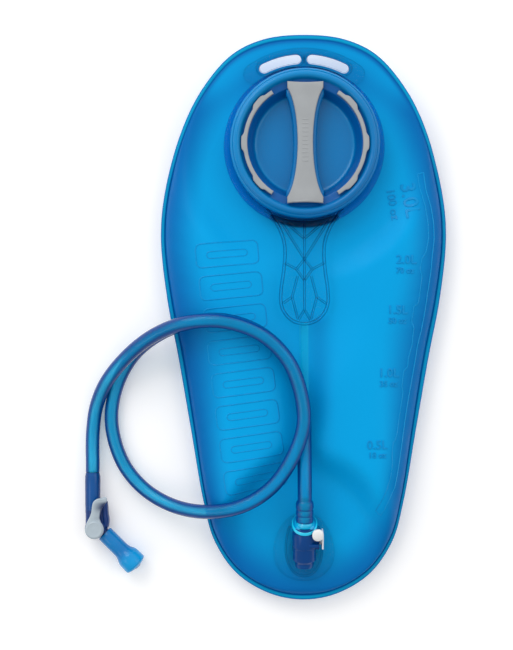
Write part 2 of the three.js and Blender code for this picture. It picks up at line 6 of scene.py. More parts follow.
import bmesh
import bpy
import numpy as np
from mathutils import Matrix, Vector


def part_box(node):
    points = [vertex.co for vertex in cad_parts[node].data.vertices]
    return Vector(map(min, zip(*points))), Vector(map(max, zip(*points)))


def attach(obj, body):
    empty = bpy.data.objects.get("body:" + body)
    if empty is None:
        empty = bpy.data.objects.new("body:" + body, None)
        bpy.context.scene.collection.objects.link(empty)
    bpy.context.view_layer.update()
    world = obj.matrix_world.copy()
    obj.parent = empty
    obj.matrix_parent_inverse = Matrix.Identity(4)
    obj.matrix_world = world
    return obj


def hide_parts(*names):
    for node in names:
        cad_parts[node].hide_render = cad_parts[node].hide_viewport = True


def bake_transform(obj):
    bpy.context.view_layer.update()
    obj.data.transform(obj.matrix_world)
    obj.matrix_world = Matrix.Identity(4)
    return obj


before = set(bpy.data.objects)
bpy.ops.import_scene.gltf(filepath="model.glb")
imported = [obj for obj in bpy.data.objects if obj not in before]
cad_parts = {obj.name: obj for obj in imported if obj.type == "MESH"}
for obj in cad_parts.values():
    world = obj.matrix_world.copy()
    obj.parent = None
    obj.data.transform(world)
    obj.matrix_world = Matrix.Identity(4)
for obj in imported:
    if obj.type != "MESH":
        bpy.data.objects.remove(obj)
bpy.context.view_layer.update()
scene = bpy.context.scene
scene.view_settings.view_transform = "Standard"

MM = 0.001
TAU = 2 * math.pi


def box_of(node):
    """A CAD node's lowest and highest corners at rest, in millimetres."""
    return [np.array(corner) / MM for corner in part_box(node)]


def middle_of(node):
    return sum(box_of(node)) / 2


def linked(name, data):
    """A new object in the scene."""
    thing = bpy.data.objects.new(name, data)
    scene.collection.objects.link(thing)
    return thing


# ---- Camera ----


def make_camera():
    """Looks straight down from above the middle of the whole object, hose and bite valve included."""
    camera = linked("camera", bpy.data.cameras.new("camera"))
    camera.data.sensor_width = 36
    camera.data.lens = 69.05
    camera.location = (-0.03525, -0.0045, 0.95)
    scene.camera = camera


make_camera()

# ---- Mesh tools: a part is (corners in mm, faces) ----


def mesh_of(parts):
    """One mesh in metres, with double corners merged and faces outwards."""
    corners, faces = [], []
    for points, polygons in parts:
        start = len(corners)
        corners += (np.asarray(points, float) * MM).tolist()
        faces += [[start + i for i in polygon] for polygon in polygons]
    mesh = bpy.data.meshes.new("mesh")
    mesh.from_pydata(corners, [], faces)
    work = bmesh.new()
    work.from_mesh(mesh)
    bmesh.ops.remove_doubles(work, verts=work.verts, dist=1e-7)
    bmesh.ops.recalc_face_normals(work, faces=work.faces)
    work.to_mesh(mesh)
    work.free()
    return mesh


def add_object(name, parts, material, body, stands_for=(), sharp=40):
    """Makes a piece of parts, with its body and the CAD nodes that it stands for."""
    mesh = mesh_of(parts)
    mesh.polygons.foreach_set("use_smooth", [True] * len(mesh.polygons))
    mesh.set_sharp_from_angle(angle=math.radians(sharp))
    mesh.name = name
    mesh.materials.append(material)
    piece = linked(name, mesh)
    if body:
        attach(piece, body)
    if stands_for:
        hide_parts(*stands_for)
    return piece


def moved(part, place):
    """The same part with its corners passed through a function of an array of points."""
    return place(np.asarray(part[0], float)), part[1]


def shifted(part, x, y, z=0):
    return moved(part, lambda points: points + (x, y, z))


def grid_faces(rows, columns, closed=False):
    """Faces between rings of corners, and from the last ring to the first if closed."""
    faces = []
    for row in range(rows if closed else rows - 1):
        here, there = row * columns, (row + 1) % rows * columns
        for i in range(columns):
            j = (i + 1) % columns
            faces.append([here + i, here + j, there + j, there + i])
    return faces


def lathe(profile, segments=64, closed=False):
    """A profile of (radius, height) turned about Z: from axis to axis, or closed on itself."""
    angles = np.arange(segments) * TAU / segments
    points = [(r * math.cos(a), r * math.sin(a), h) for r, h in profile for a in angles]
    return np.array(points), grid_faces(len(profile), segments, closed)


def cylinder(x, y, radius, low, high, segments=64):
    return shifted(lathe([(0, low), (radius, low), (radius, high), (0, high)], segments), x, y)


def rounded(profile, radius, steps=4, closed=True):
    """The profile with each of its corners rounded by a small curve."""
    points = [np.array(p, float) for p in profile]
    result = []
    count = len(points)
    for i, corner in enumerate(points):
        if not closed and i in (0, count - 1):
            result.append(tuple(corner))
            continue
        before, after = points[i - 1] - corner, points[(i + 1) % count] - corner
        reach = min(radius, 0.45 * np.linalg.norm(before), 0.45 * np.linalg.norm(after))
        start = corner + before / np.linalg.norm(before) * reach
        end = corner + after / np.linalg.norm(after) * reach
        for k in range(steps + 1):
            t = k / steps
            result.append(tuple((1 - t) ** 2 * start + 2 * t * (1 - t) * corner + t**2 * end))
    return result


def catmull(points, closed=False, steps=16):
    """Points along the centripetal Catmull-Rom curve through the given points."""
    points = np.asarray(points, float)
    count = len(points)
    if closed:
        extended = np.concatenate([points[-1:], points, points[:2]])
    else:
        extended = np.concatenate([[2 * points[0] - points[1]], points, [2 * points[-1] - points[-2]]])
    line = []
    for i in range(count if closed else count - 1):
        p0, p1, p2, p3 = extended[i : i + 4]
        pairs = ((p0, p1), (p1, p2), (p2, p3))
        d0, d1, d2 = (math.sqrt(max(np.linalg.norm(b - a), 1e-9)) for a, b in pairs)
        m1 = ((p1 - p0) / d0 - (p2 - p0) / (d0 + d1) + (p2 - p1) / d1) * d1
        m2 = ((p2 - p1) / d1 - (p3 - p1) / (d1 + d2) + (p3 - p2) / d2) * d1
        for k in range(steps):
            t = k / steps
            line.append(
                (2 * t**3 - 3 * t**2 + 1) * p1
                + (t**3 - 2 * t**2 + t) * m1
                + (3 * t**2 - 2 * t**3) * p2
                + (t**3 - t**2) * m2
            )
    if not closed:
        line.append(points[-1])
    return np.array(line)


def bezier(points, t):
    """A point of the cubic curve with these four control points."""
    a, b, c, d = (np.array(p, float) for p in points)
    return (1 - t) ** 3 * a + 3 * t * (1 - t) ** 2 * b + 3 * t**2 * (1 - t) * c + t**3 * d


def lengths_along(line):
    return np.concatenate([[0], np.cumsum(np.linalg.norm(np.diff(line, axis=0), axis=1))])


def resampled(line, count, closed=False):
    """That many points evenly spaced along a line."""
    line = np.asarray(line, float)
    whole = np.concatenate([line, line[:1]]) if closed else line
    along = lengths_along(whole)
    wanted = np.linspace(0, along[-1], count + 1 if closed else count)[:count]
    return np.stack([np.interp(wanted, along, column) for column in whole.T], axis=1)


def at_height(line, z):
    """A flat line's points with a height."""
    return np.column_stack([np.asarray(line, float)[:, :2], np.full(len(line), z)])


RIB = ((1, 0), (0.5, 0.85), (0.4, 1), (-0.4, 1), (-0.5, 0.85), (-1, 0))  # sloping sides, level top


def tube(line, wide, high=None, sides=12, closed=False, taper=0, section=None):
    """A tube along a line, with half-width wide to the side and half-height high upwards.

    Its ends taper over a length, where given. section is its shape as (side, up) pairs in place of a circle.
    """
    line = np.asarray(line, float)
    count = len(line)
    high = wide if high is None else high
    if closed:
        tangent = np.roll(line, -1, 0) - np.roll(line, 1, 0)
    else:
        tangent = np.gradient(line, axis=0)
    tangent /= np.linalg.norm(tangent, axis=1)[:, None]
    side = np.cross(tangent, (0, 0, 1))
    side /= np.linalg.norm(side, axis=1)[:, None]
    up = np.cross(side, tangent)
    shrink = np.ones(count)
    if taper:
        along = lengths_along(line)
        near = np.clip(np.minimum(along, along[-1] - along) / taper, 0, 1)
        shrink = np.sqrt(np.clip(1 - (1 - near) ** 2, 0.02, 1))
    angles = np.arange(sides) * TAU / sides
    across, aloft = np.array(section, float).T if section else (np.cos(angles), np.sin(angles))
    sides = len(across)
    points = (
        line[:, None]
        + (side * (wide * shrink)[:, None])[:, None] * across[None, :, None]
        + (up * (high * shrink)[:, None])[:, None] * aloft[None, :, None]
    ).reshape(-1, 3)
    faces = grid_faces(count, sides, closed)
    if not closed:
        faces.append(list(range(sides))[::-1])
        faces.append([(count - 1) * sides + i for i in range(sides)])
    return points, faces


def part_of(curve, height):
    """The corners and faces of a curve or text, at a height."""
    holder = linked("holder", curve)
    bpy.context.view_layer.update()
    mesh = bpy.data.meshes.new_from_object(holder.evaluated_get(bpy.context.evaluated_depsgraph_get()))
    points = np.array([v.co for v in mesh.vertices], float) / MM + (0, 0, height)
    faces = [list(p.vertices) for p in mesh.polygons]
    bpy.data.objects.remove(holder)
    bpy.data.curves.remove(curve)
    bpy.data.meshes.remove(mesh)
    return points, faces


def plate(loops, low, high, bevel=0.3):
    """A flat plate between two heights, from an outline and its holes, with rounded edges."""
    curve = bpy.data.curves.new("plate", "CURVE")
    curve.dimensions, curve.fill_mode = "2D", "BOTH"
    curve.extrude = max((high - low) / 2 - bevel, 0.001) * MM
    curve.bevel_depth, curve.offset, curve.bevel_resolution = bevel * MM, -bevel * MM, 2
    for loop in loops:
        spline = curve.splines.new("POLY")
        spline.points.add(len(loop) - 1)
        for point, place in zip(spline.points, loop):
            point.co = (place[0] * MM, place[1] * MM, 0, 1)
        spline.use_cyclic_u = True
    return part_of(curve, (low + high) / 2)


def lettering(text, place, size, angle):
    """Raised figures of a volume scale, centred on a place, turned by an angle in degrees."""
    curve = bpy.data.curves.new("figures", "FONT")
    curve.body, curve.size = text, size * MM
    curve.align_x, curve.align_y = "CENTER", "CENTER"
    curve.extrude, curve.bevel_depth = 0.12 * MM, 0.14 * MM
    curve.resolution_u = 4
    return moved(part_of(curve, 0.26), lambda p: turned_flat(p, angle) + (*place, 0))


def turned_flat(points, angle):
    """Points turned about Z by an angle in degrees."""
    c, s = math.cos(math.radians(angle)), math.sin(math.radians(angle))
    x, y, z = points.T
    return np.stack([x * c - y * s, x * s + y * c, z], axis=1)


def rounded_box(width, length, radius, centre=(0, 0), angle=0, steps=6):
    """Outline of a rectangle with round corners."""
    loop = []
    for cx, cy, start in ((1, 1, 0), (-1, 1, 90), (-1, -1, 180), (1, -1, 270)):
        for k in range(steps + 1):
            a = math.radians(start + 90 * k / steps)
            x = cx * (width / 2 - radius) + radius * math.cos(a)
            y = cy * (length / 2 - radius) + radius * math.sin(a)
            loop.append((x, y, 0))
    return turned_flat(np.array(loop), angle)[:, :2] + centre


def without(piece, *cutters):
    """Cuts parts out of a piece, in place."""
    for cutter in cutters:
        tool = linked("cutter", mesh_of([cutter]))
        modifier = piece.modifiers.new("cut", "BOOLEAN")
        modifier.operation, modifier.solver, modifier.object = "DIFFERENCE", "EXACT", tool
        bpy.context.view_layer.update()
        result = bpy.data.meshes.new_from_object(piece.evaluated_get(bpy.context.evaluated_depsgraph_get()))
        piece.modifiers.clear()
        old, piece.data = piece.data, result
        bpy.data.meshes.remove(old)
        bpy.data.objects.remove(tool)
    piece.data.set_sharp_from_angle(angle=math.radians(40))


def corners_of(piece):
    return np.array([v.co for v in piece.data.vertices], float) / MM


def paint(piece, name, values):
    """Stores an amount from 0 to 1 at each corner, for a material to read."""
    attribute = piece.data.attributes.new(name, "FLOAT", "POINT")
    attribute.data.foreach_set("value", np.clip(values, 0, 1).astype(np.float32))


def smooth(value, low, high):
    t = np.clip((value - low) / (high - low), 0, 1)
    return t * t * (3 - 2 * t)


def lerp(a, b, t):
    return a + (b - a) * t


# ---- Materials ----


class Shading:
    """The node tree of a new material or world, with the steps that its makers share."""

    def __init__(self, owner):
        owner.use_nodes = True
        self.owner, self.tree = owner, owner.node_tree
        self.tree.nodes.clear()

    def add(self, kind, **inputs):
        """A node, with some of its inputs set or linked; a name's spaces are written as _."""
        node = self.tree.nodes.new(f"ShaderNode{kind}")
        for name, value in inputs.items():
            self.give(node.inputs[name.replace("_", " ")], value)
        return node

    def give(self, socket, value):
        if isinstance(value, bpy.types.NodeSocket):
            self.tree.links.new(value, socket)
        else:
            socket.default_value = value

    def ranged(self, value, low, high, start=0.0, end=1.0):
        """value, from low..high to start..end."""
        node = self.add("MapRange", Value=value, From_Min=low, From_Max=high, To_Min=start, To_Max=end)
        return node.outputs["Result"]

    def noise(self, scale, detail):
        """Noise over the piece's own place, in features per metre."""
        place = self.add("TexCoord").outputs["Object"]
        return self.add("TexNoise", Vector=place, Scale=scale, Detail=detail).outputs["Fac"]

    def patchy(self, scale, start=0.0, end=1.0, detail=3):
        """An amount that wanders between start and end over the surface."""
        return self.ranged(self.noise(scale, detail), 0.3, 0.7, start, end)

    def painted(self, name):
        """The amount stored at each corner under this name."""
        node = self.add("Attribute")
        node.attribute_name = name
        return node.outputs["Fac"]

    def grain(self, scale, depth, detail=2, strength=0.35):
        """Normals of a fine surface grain."""
        node = self.add("Bump", Height=self.noise(scale, detail), Strength=strength, Distance=depth)
        return node.outputs["Normal"]

    def blended(self, fraction, a, b):
        """Colour a where fraction is 0 and b where it is 1; each is a colour or a socket."""
        mix = self.add("Mix", Factor=fraction)
        mix.data_type = "RGBA"
        for name, colour in (("A", a), ("B", b)):
            socket = next(s for s in mix.inputs if s.name == name and s.type == "RGBA")
            self.give(socket, (*colour, 1) if isinstance(colour, tuple) else colour)
        return next(s for s in mix.outputs if s.type == "RGBA")

    def calculated(self, operation, *values, clamp=False):
        node = self.add("Math")
        node.operation, node.use_clamp = operation, clamp
        for socket, value in zip(node.inputs, values):
            self.give(socket, value)
        return node.outputs[0]

    def mixed(self, fraction, a, b):
        """Shader a where fraction is 0 and b where it is 1."""
        node = self.add("MixShader")
        for socket, value in zip(node.inputs, (fraction, a.outputs[0], b.outputs[0])):
            self.give(socket, value)
        return node

    def facing(self):
        """0 where the surface is seen square on and 1 where it is seen edge on."""
        return self.add("LayerWeight", Blend=0.5).outputs["Facing"]

    def finished(self, shader):
        self.add("OutputMaterial", Surface=shader.outputs[0])
        return self.owner


def new_shading(name):
    return Shading(bpy.data.materials.new(name))


def scaled(colour, factor):
    return tuple(factor * c for c in colour)


def plastic(
    name,
    colour,
    roughness=0.3,
    specular=0.5,
    coat=0.0,
    mottle=(30, 0.5),
    grain=(1500, 0.00002),
    metallic=0.0,
    second_colour_and_painted_shading=None,
):
    """A plastic, rubber or metal with soft colour variation, fine surface grain and uneven gloss.

    mottle is the variation's scale and strength, and grain is the bumps' scale and depth in metres.
    The optional second colour is laid on by the amount stored at each corner; on the cap, its spine and the
    lever arm that amount is painted light and shade.
    """
    shading = new_shading(name)
    base = shading.blended(shading.patchy(mottle[0], 1, 1 - mottle[1]), scaled(colour, 0.8), colour)
    if second_colour_and_painted_shading:
        base = shading.blended(shading.painted("second_colour_and_painted_shading"), base, second_colour_and_painted_shading)
    shader = shading.add(
        "BsdfPrincipled",
        Base_Color=base,
        Specular_IOR_Level=specular,
        Metallic=metallic,
        Coat_Weight=coat,
        Coat_Roughness=0.06,
        Roughness=shading.patchy(120, max(roughness - 0.06, 0.02), roughness + 0.06, detail=5),
        Normal=shading.grain(*grain),
    )
    return shading.finished(shader)


def film_material(name, bright, deep, rim):
    """Welded plastic film: painted light makes it paler where it lies level and painted shade makes it
    deeper where it turns down; cyan along the weld.
    """
    shading = new_shading(name)
    cloud = shading.patchy(14, -0.05, 0.05, detail=2)
    painted_film_shading = shading.calculated("ADD", shading.painted("painted_film_shading"), cloud, clamp=True)
    base = shading.blended(painted_film_shading, deep, bright)
    shader = shading.add(
        "BsdfPrincipled",
        Base_Color=shading.blended(shading.painted("weld"), base, rim),
        Specular_IOR_Level=0.07,
        Roughness=shading.patchy(60, 0.34, 0.46, detail=4),
        Normal=shading.grain(900, 0.00003, detail=3, strength=0.3),
    )
    return shading.finished(shader)


def clear_material(name, tint, edge, body):
    """Clear tinted moulding: what lies behind shows through its level faces and its edges look deep."""
    shading = new_shading(name)
    solid = shading.add(
        "BsdfPrincipled",
        Base_Color=shading.blended(shading.patchy(40), edge, scaled(edge, 1.25)),
        Specular_IOR_Level=0.9,
        Coat_Weight=0.6,
        Coat_Roughness=0.03,
        Roughness=shading.patchy(90, 0.04, 0.12, detail=4),
    )
    share = shading.ranged(shading.facing(), 0.52, 0.8, body, 0.95)
    clear = shading.add("BsdfTransparent", Color=(*tint, 1))
    return shading.finished(shading.mixed(share, clear, solid))


def tubing_material(name, core, wall, clearness=0.0):
    """Translucent tubing: its middle lets through some of what lies behind and its edges look deep."""
    shading = new_shading(name)

    def skin(colour, specular):
        return shading.add(
            "BsdfPrincipled",
            Base_Color=shading.blended(shading.patchy(45, detail=2), scaled(colour, 0.88), colour),
            Specular_IOR_Level=specular,
            Coat_Weight=0.25,
            Coat_Roughness=0.06,
            Roughness=shading.patchy(200, 0.12, 0.22),
        )

    clear = shading.add("BsdfTransparent", Color=(0.32, 0.9, 1.0, 1))
    middle = shading.mixed(clearness, skin(core, 0.2), clear)
    curve = shading.add("ValToRGB", Fac=shading.facing())
    curve.color_ramp.interpolation = "EASE"
    for stop, position, value in zip(curve.color_ramp.elements, (0.02, 0.36), (0, 1)):
        stop.position, stop.color = position, (value, value, value, 1)
    return shading.finished(shading.mixed(curve.outputs["Color"], middle, skin(wall, 0.25)))


RIM_CYAN = (0.0, 0.42, 0.66)
FILM = film_material("film", (0.0, 0.36, 0.76), (0.0, 0.12, 0.41), RIM_CYAN)
FILM_BACK = film_material("film_back", (0.0, 0.30, 0.68), (0.0, 0.125, 0.41), RIM_CYAN)
EMBOSS = plastic("film_emboss", (0.0, 0.285, 0.645), specular=0.14, mottle=(20, 0.3))
BAFFLE = plastic("film_weld", (0.0, 0.40, 0.74), specular=0.1, mottle=(40, 0.3))
CLEAR = clear_material("clear_blue", (0.975, 0.996, 1.0), (0.0, 0.045, 0.22), body=0.015)
CLEAR_DEEP = clear_material("clear_deep", (0.6, 0.88, 0.99), (0.0, 0.12, 0.42), body=0.06)
# The cap's second colour is laid on as painted light and shade.
CAP = plastic("cap_blue", (0.0, 0.10, 0.36), 0.2, 0.12, 0.3, mottle=(25, 0.4), second_colour_and_painted_shading=(0.0, 0.225, 0.54))
GRIP = plastic("grip_grey", (0.35, 0.37, 0.385), 0.55, mottle=(60, 0.5), grain=(2600, 0.00006))
SILICONE = plastic("seal_silicone", (0.75, 0.78, 0.80), 0.5)
NAVY = plastic("socket_navy", (0.0, 0.04, 0.20), 0.2, 0.15, 0.14, mottle=(80, 0.8), second_colour_and_painted_shading=(0.0, 0.085, 0.32))
CYAN = plastic("connector_cyan", (0.0, 0.34, 0.70), 0.15, coat=0.3, second_colour_and_painted_shading=(0.01, 0.66, 0.92))
WHITE = plastic("button_white", (0.84, 0.85, 0.86), 0.32, mottle=(80, 0.3))
STEEL = plastic("spring_steel", (0.62, 0.63, 0.64), 0.25, metallic=1.0)
HOSE = tubing_material("hose_blue", (0.0, 0.44, 0.88), (0.0, 0.055, 0.26), clearness=0.58)
HOSE_FILLED = tubing_material("hose_filled", (0.0, 0.085, 0.32), (0.0, 0.05, 0.22))
VALVE = plastic("valve_navy", (0.0, 0.035, 0.19), 0.22, 0.3, 0.15, mottle=(70, 0.7))
# The lever's second colour is its painted shade.
LEVER = plastic("lever_grey", (0.44, 0.52, 0.58), 0.3, 0.4, 0.1, mottle=(60, 0.3), second_colour_and_painted_shading=(0.02, 0.04, 0.12))
BITE = plastic("bite_blue", (0.0, 0.15, 0.46), 0.22, 0.2, 0.3, mottle=(50, 0.3), second_colour_and_painted_shading=(0.0, 0.33, 0.72))

# ---- Hose: the cord comes first ----

HOSE_R = 5.3
HOSE_ROUTE = [  # metres, the same points as in the CAD
    (0, -0.1334, 0.0393),
    (0, -0.122, 0.0399),
    (0, -0.106, 0.0368),
    (0, -0.089, 0.0328),
    (-0.0004, -0.071, 0.0321),
    (-0.004, -0.05, 0.0338),
    (-0.0146, -0.027, 0.036),
    (-0.034, -0.0096, 0.038),
    (-0.06, -0.001, 0.0382),
    (-0.086, -0.0032, 0.0328),
    (-0.108, -0.0115, 0.0195),
    (-0.1275, -0.0265, 0.009),
    (-0.1398, -0.047, 0.0057),
    (-0.145, -0.07, 0.0057),
    (-0.143, -0.091, 0.0057),
    (-0.1345, -0.112, 0.0062),
    (-0.1195, -0.1285, 0.0095),
    (-0.0975, -0.1395, 0.0185),
    (-0.0724, -0.1423, 0.0302),
    (-0.046, -0.137, 0.0383),
    (-0.024, -0.1226, 0.0414),
    (-0.0088, -0.1005, 0.043),
    (-0.001, -0.0773, 0.043),
    (-0.0026, -0.056, 0.0444),
    (-0.012, -0.031, 0.0466),
    (-0.031, -0.012, 0.049),
    (-0.058, -0.0022, 0.049),
    (-0.0854, -0.0028, 0.0454),
    (-0.1105, -0.012, 0.0335),
    (-0.1315, -0.0278, 0.0225),
    (-0.148, -0.0475, 0.014),
    (-0.1564, -0.0665, 0.0074),
    (-0.159, -0.084, 0.0057),
    (-0.1592, -0.097, 0.0074),
    (-0.1588, -0.107, 0.0093),
    (-0.1588, -0.1151, 0.0093),
]
hose_line = resampled(catmull(np.array(HOSE_ROUTE) / MM), 300)
hose_tube = tube(hose_line, HOSE_R, sides=20)
hose = add_object("drinking_hose", [hose_tube], HOSE, None, ["drink_hose"], sharp=60)

# ---- Bladder films ----

BOTTOM, TOP = (corner[1] for corner in box_of("front_film"))
HALF_OUTLINE = [
    (30, 207.2), (54, 195.5), (77, 168), (93.8, 132.5), (104, 95), (107, 62), (102.4, 16),
    (93.8, -29), (84.4, -83), (75, -137), (67, -166), (50, -190.8), (25, -206),
]  # fmt: skip
WALL = 0.9  # thickness of each film
FILL = middle_of("cap_lid")[:2]  # middle of the fill opening
NECK_R = 47.6
FLANGE_Y = -169.5  # middle of the port's oval flange

outline = catmull(
    [(0, TOP), *((-x, y) for x, y in HALF_OUTLINE), (0, BOTTOM), *HALF_OUTLINE[::-1]], closed=True, steps=24
)
rim_angle = np.arctan2(outline[:, 1], outline[:, 0])
rim_order = np.argsort(rim_angle)
rim_angle = rim_angle[rim_order]
rim_radius = np.linalg.norm(outline, axis=1)[rim_order]


def edge_distance(x, y):
    """Distance to the outline along the line from the middle of the bladder."""
    radius = np.interp(np.arctan2(y, x), rim_angle, rim_radius, period=TAU)
    return np.maximum(radius - np.hypot(x, y), 0)


def from_fill(x, y):
    return np.hypot(x - FILL[0], y - FILL[1])


def crown_weld(x, y):
    """1 where the two films are welded flat round the top of the fill opening."""
    return smooth(from_fill(x, y), 47, 61) * smooth(y, 150, 178)


def seam_height(y):
    return lerp(13, 24.85, smooth(y, 95, 185))


def port_flat(x, y):
    """1 where the port's flange holds the film level."""
    return 1 - smooth(np.hypot(x / 24.5, (y - FLANGE_Y) / 27.5), 1.9, 2.8)


def rise(edge, reach):
    """A quarter circle's rise from the weld's inner edge over this reach."""
    t = np.clip((edge - 4) / reach, 0, 1)
    return np.sqrt(1 - (1 - t) ** 2)


def free_film(x, y):
    """1 where the film is free to ripple and 0 where a moulding or a weld holds it flat."""
    held = (1 - smooth(from_fill(x, y), 78, 100)) + port_flat(x, y) + crown_weld(x, y)
    return np.clip(1 - held, 0, 1)


def ripples(x, y, edge):
    """Soft waves of the film, and short puckers that run in from the weld."""
    around = np.arctan2(y, x)
    pucker = np.sin(47 * around + 2.1 * np.sin(3 * around)) + 0.7 * np.sin(83 * around + 1.3)
    pucker = (pucker + 0.5 * np.sin(29 * around + 4)) * (0.6 + 0.4 * np.sin(5 * around + 1))
    near = smooth(edge, 4.2, 9) * (1 - smooth(edge, 14, 34))
    waves = np.sin(x / 17 + 1.3 * np.sin(y / 41)) * np.sin(y / 29 + 0.8)
    waves += 0.5 * np.sin((x + y) / 13 + 2) * np.sin((x - 0.6 * y) / 31)
    return 0.22 * pucker * near + 0.28 * waves * smooth(edge, 12, 40)


def weld_bead(edge):
    """Height of the weld's raised bead and of the groove inside it."""
    bead = 0.35 * smooth(edge, 0.2, 1.2) * (1 - smooth(edge, 2.6, 3.5))
    return bead - 0.3 * smooth(edge, 3.3, 3.9) * (1 - smooth(edge, 4.1, 5.2))


def front_top(x, y, edge):
    """Height of the front film's outer face."""
    width = lerp(15, 34, smooth(y, -60, 10))
    lobe = 34 - 8 * np.exp(-((x / width) ** 2))
    z = lerp(seam_height(y) + 1.35, lobe, rise(edge, 50))
    z = lerp(z, 26, 1 - smooth(from_fill(x, y), 80, 102))
    z = lerp(z, np.minimum(z, 19.7), port_flat(x, y))
    z = lerp(z, 26.2, crown_weld(x, y))
    return z + free_film(x, y) * ripples(x, y, edge) + weld_bead(edge)


def back_bottom(x, y, edge):
    """Height of the back film's outer face."""
    z = lerp(seam_height(y) - 1.35, 0, rise(edge, 28))
    z = lerp(z, 23.5, crown_weld(x, y))
    side = smooth(z, 0.4, 3)
    return z + side * 0.5 * ripples(x, y, edge) * free_film(x, y) - 0.6 * weld_bead(edge)


RIM_STEPS = [0, 0.3, 0.8, 1.3, 1.9, 2.5, 3.0, 3.4, 3.8, 4.2, 4.8, 5.6, 6.8, 8.5]
RIM_STEPS += [10.5, 13, 16, 19.5, 23.5, 28, 33, 38.5, 44.5, 51]


def film_shell(height_of, lower, upper, around=240, inner=28):
    """A closed film between height + lower and height + upper, gridded from its rim inwards."""
    rim = resampled(outline, around, closed=True)
    length = np.linalg.norm(rim, axis=1)
    rings = [rim * ((length - e) / length)[:, None] for e in RIM_STEPS]
    rings += [rings[-1] * (1 - (k + 1) / inner) for k in range(inner - 1)]
    x, y = np.concatenate([*rings, [[0.0, 0.0]]]).T
    edges = [np.full(around, e) for e in RIM_STEPS]
    edges += [edge_distance(*ring.T) for ring in rings[len(RIM_STEPS) :]]
    height = height_of(x, y, np.concatenate([*edges, [200]]))
    last, middle = (len(rings) - 1) * around, len(rings) * around
    faces = grid_faces(len(rings), around)
    faces += [[last + i, last + (i + 1) % around, middle] for i in range(around)]
    count = len(x)
    faces += [[count + i for i in face[::-1]] for face in faces]
    faces += [[i, count + i, count + (i + 1) % around, (i + 1) % around] for i in range(around)]
    sides = [np.stack([x, y, height + offset], axis=1) for offset in (upper, lower)]
    return np.concatenate(sides), faces


def paint_film(piece):
    """The painted film shading is painted light and shade: 1 in the level middle and low beside the rim;
    weld marks the bead of the rim.
    """
    x, y = corners_of(piece).T[:2]
    edge = edge_distance(x, y)
    painted_film_shading = 0.05 + 0.95 * smooth(edge, 1, 42) ** 1.15
    # Painted shade: a darker line in the groove inside the weld.
    painted_film_shading *= 1 - 0.35 * smooth(edge, 3.2, 3.7) * (1 - smooth(edge, 4.4, 6))
    # Painted light: the film round the cap is made paler.
    painted_light_round_cap = 1 - smooth(from_fill(x, y), 62, 96)
    painted_film_shading = np.clip(painted_film_shading + 0.1 * painted_light_round_cap, 0, 1)
    # Painted light and shade on the welded crown, paler away from the fill opening.
    crown = crown_weld(x, y) * smooth(edge, 4, 8)
    painted_film_shading = lerp(painted_film_shading, 0.52 + 0.25 * smooth(from_fill(x, y), 64, 80), crown)
    # Painted shade in the furrow beside the baffle's weld.
    painted_furrow_shade = np.exp(-(((x - 11) / 8) ** 2)) * (1 - smooth(y, -2, 6)) * smooth(y, -92, -60)
    paint(piece, "painted_film_shading", painted_film_shading - 0.3 * painted_furrow_shade)
    paint(piece, "weld", 0.65 * smooth(edge, 0.5, 1.1) * (1 - smooth(edge, 2.5, 3.3)))


def arc_band(inner, outer, start, end, steps=20, ends=6):
    """Outline of a flat arc round the fill opening, with round ends; angles in degrees."""

    def at(radius, angle):
        return FILL + radius * np.array([math.cos(angle), math.sin(angle)])

    start, end = math.radians(start), math.radians(end)
    middle, half = (inner + outer) / 2, (outer - inner) / 2
    loop = [at(outer, lerp(start, end, k / steps)) for k in range(steps + 1)]
    for base, turn in ((end, 0), (start, math.pi)):
        if turn:
            loop += [at(inner, lerp(end, start, k / steps)) for k in range(steps + 1)]
        turns = [base + turn + math.pi * k / ends for k in range(1, ends)]
        loop += [at(middle, base) + at(half, a) - FILL for a in turns]
    return loop


def slot_band(side, margin):
    a, b = sorted((90 + side * 5, 90 + side * 27))
    return arc_band(62 - margin, 68.4 + margin, a, b)


def make_films():
    parts = [film_shell(front_top, -WALL, 0)]
    front = add_object("bladder_front", parts, FILM, "root", ["front_film"])
    parts = [film_shell(back_bottom, 0, WALL)]
    back = add_object("bladder_back", parts, FILM_BACK, "root", ["back_film"])
    slots = [plate([slot_band(side, 0.6)], 10, 40, 0.01) for side in (-1, 1)]
    without(front, cylinder(*FILL, 48.8, 10, 50), cylinder(0, FLANGE_Y - 1, 8.6, 5, 40), *slots)
    without(back, *slots)
    for piece in (front, back):
        paint_film(piece)


make_films()


def draped(part):
    """Lays a flat part on the front film: its heights count from the film."""

    def place(points):
        x, y, z = points.T
        return np.stack([x, y, z + front_top(x, y, edge_distance(x, y))], axis=1)

    return moved(part, place)


def ridge_on_film(line, wide, high, closed=False, sides=8):
    """A low rounded ridge that follows a flat line over the front film."""
    return draped(tube(at_height(line, 0), wide, high, sides, closed))


STRIP_INNER = [
    (84, 107), (85.5, 96.5), (89.5, 83), (91.5, 71), (92, 59.5), (90, 49.5), (88.5, 47), (87, 45),
    (85.5, 38), (85.5, 35), (87, 32.5), (85, 15.5), (84, 11), (81, 9.5), (80.5, 5.5), (79, -1.5),
    (81, -6), (80, -18.5), (77, -29.5), (76.5, -35.5), (73.5, -38.5), (72.5, -46), (72, -50),
    (73, -54.5), (70.5, -70), (68.5, -84), (67.5, -88.5), (65.5, -91.5), (64.5, -99), (65, -106.5),
    (63.5, -117), (60.5, -126.5), (56.5, -135), (53, -142),
]  # fmt: skip
STRIP_OUTER = [
    (88.5, 108.5), (90, 95.5), (94, 83), (96, 71), (96.5, 59.5), (95, 47), (94, 34.5), (91.5, 18),
    (89.5, 4.5), (87, -9), (84.5, -18.5), (81.5, -36.5), (78, -55.5), (75.5, -70), (73.5, -84),
    (71.5, -99), (69, -115), (67, -124.5), (62.5, -134), (56.5, -145.5),
]  # fmt: skip
